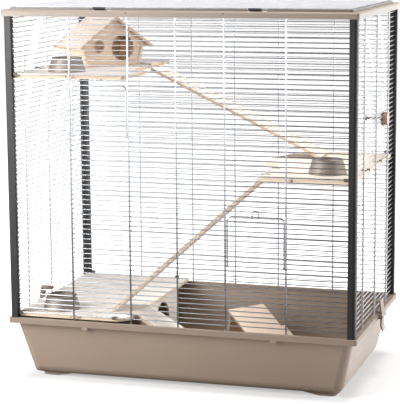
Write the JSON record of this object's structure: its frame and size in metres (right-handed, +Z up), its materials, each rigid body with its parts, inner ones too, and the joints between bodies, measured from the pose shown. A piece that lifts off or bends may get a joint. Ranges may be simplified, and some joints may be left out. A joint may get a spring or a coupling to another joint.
{
  "type": "rodent cage",
  "caption": "Tall wire cage for small rodents on a moulded tray, with corner posts, hinged wire lid and doors, wooden shelves, ramps, house, steel bowls and a clear running wheel.",
  "frame": {"origin": "on the floor under the middle of the cage", "axes": "+X right seen from the front, +Y to the back, +Z up"},
  "size_m": [0.82, 0.48, 0.8425],
  "materials": {
    "tray_plastic": "satin moulded taupe plastic",
    "frame_plastic": "satin moulded taupe plastic",
    "post_plastic": "satin charcoal plastic",
    "wire": "zinc-plated wire",
    "hardware": "plain steel",
    "board_wood": "raw pale softwood",
    "house_wood": "raw pale softwood",
    "bowl_steel": "spun stainless steel",
    "clear_plastic": "clear polystyrene",
    "axle_plastic": "moulded brown plastic",
    "knob_plastic": "satin moulded taupe plastic"
  },
  "bodies": {
    "cage": {"tray": "tray_plastic", "front_wall": "wire", "back_wall": "wire", "left_wall": "wire", "right_wall": "wire", "front_left_post": "post_plastic", "front_right_post": "post_plastic", "back_left_post": "post_plastic", "back_right_post": "post_plastic", "top_frame": "frame_plastic", "roof_hinges": "post_plastic", "tray_clip_pins": "hardware", "upper_shelf": "board_wood", "middle_shelf": "board_wood", "lower_platform": "board_wood", "shelf_hooks": "hardware", "shelf_nails": "hardware", "hide_panel": "board_wood", "ramp_eyes": "hardware", "house_front": "house_wood", "house_back": "house_wood", "house_left": "house_wood", "house_right": "house_wood", "house_roof_left": "house_wood", "house_roof_right": "house_wood", "house_trim": "house_wood", "upper_bowl": "bowl_steel", "middle_bowl": "bowl_steel", "lower_bowl": "bowl_steel", "wheel_axle": "axle_plastic", "wheel_knob": "knob_plastic", "axle_cap": "post_plastic", "loose_hide_top": "board_wood", "loose_hide_prop": "board_wood"},
    "roof_lid": {"roof_panel": "wire"},
    "left_roof_clip": {"left_roof_clip": "post_plastic", "left_clip_tip": "hardware"},
    "right_roof_clip": {"right_roof_clip": "post_plastic", "right_clip_tip": "hardware"},
    "upper_door": {"upper_door": "wire"},
    "upper_door_latch": {"upper_door_latch": "wire"},
    "lower_door": {"lower_door": "wire"},
    "lower_door_latch": {"lower_door_latch": "wire"},
    "left_tray_clip": {"left_tray_clip": "tray_plastic"},
    "right_tray_clip": {"right_tray_clip": "tray_plastic"},
    "wheel": {"wheel": "clear_plastic"},
    "upper_ramp": {"upper_ramp_board": "board_wood", "upper_ramp_rungs": "board_wood", "upper_ramp_rod": "hardware"},
    "lower_ramp": {"lower_ramp_board": "board_wood", "lower_ramp_rungs": "board_wood", "lower_ramp_rod": "hardware"},
    "entry_ramp": {"entry_ramp_board": "board_wood", "entry_ramp_rod": "hardware"}
  },
  "joints": [
    {"name": "roof_lid_hinge", "type": "hinge", "parent": "cage", "child": "roof_lid", "pos_m": [0, 0.2165, 0.8374], "axis": [-1, 0, 0], "range_deg": [0, 95]},
    {"name": "left_roof_clip_hinge", "type": "hinge", "parent": "roof_lid", "child": "left_roof_clip", "pos_m": [-0.17445, -0.2165, 0.8374], "axis": [-1, 0, 0], "range_deg": [0, 100]},
    {"name": "right_roof_clip_hinge", "type": "hinge", "parent": "roof_lid", "child": "right_roof_clip", "pos_m": [0.17445, -0.2165, 0.8374], "axis": [-1, 0, 0], "range_deg": [0, 100]},
    {"name": "upper_door_hinge", "type": "hinge", "parent": "cage", "child": "upper_door", "pos_m": [-0.17645, -0.229, 0.562], "axis": [1, 0, 0], "range_deg": [0, 150]},
    {"name": "upper_door_latch_hinge", "type": "hinge", "parent": "upper_door", "child": "upper_door_latch", "pos_m": [-0.17645, -0.2305, 0.672], "axis": [1, 0, 0], "range_deg": [0, 100]},
    {"name": "lower_door_hinge", "type": "hinge", "parent": "cage", "child": "lower_door", "pos_m": [0.17645, -0.229, 0.287], "axis": [1, 0, 0], "range_deg": [0, 150]},
    {"name": "lower_door_latch_hinge", "type": "hinge", "parent": "lower_door", "child": "lower_door_latch", "pos_m": [0.17645, -0.2305, 0.397], "axis": [1, 0, 0], "range_deg": [0, 100]},
    {"name": "right_tray_clip_hinge", "type": "hinge", "parent": "cage", "child": "right_tray_clip", "pos_m": [0.405, 0.028, 0.137], "axis": [0, 1, 0], "range_deg": [0, 20]},
    {"name": "left_tray_clip_hinge", "type": "hinge", "parent": "cage", "child": "left_tray_clip", "pos_m": [-0.405, -0.028, 0.137], "axis": [0, -1, 0], "range_deg": [0, 20]},
    {"name": "wheel_spin", "type": "hinge", "parent": "cage", "child": "wheel", "pos_m": [0.369, 0.104, 0.5785], "axis": [1, 0, 0], "continuous": true},
    {"name": "upper_ramp_hinge", "type": "hinge", "parent": "cage", "child": "upper_ramp", "pos_m": [-0.1575, 0.122, 0.681], "axis": [0, -1, 0], "range_deg": [0, 20]},
    {"name": "lower_ramp_hinge", "type": "hinge", "parent": "cage", "child": "lower_ramp", "pos_m": [0.1725, -0.126, 0.47], "axis": [0, 1, 0], "range_deg": [0, 25]},
    {"name": "entry_ramp_hinge", "type": "hinge", "parent": "cage", "child": "entry_ramp", "pos_m": [-0.1125, -0.138, 0.1517], "axis": [0, -1, 0], "range_deg": [0, 30]}
  ]
}
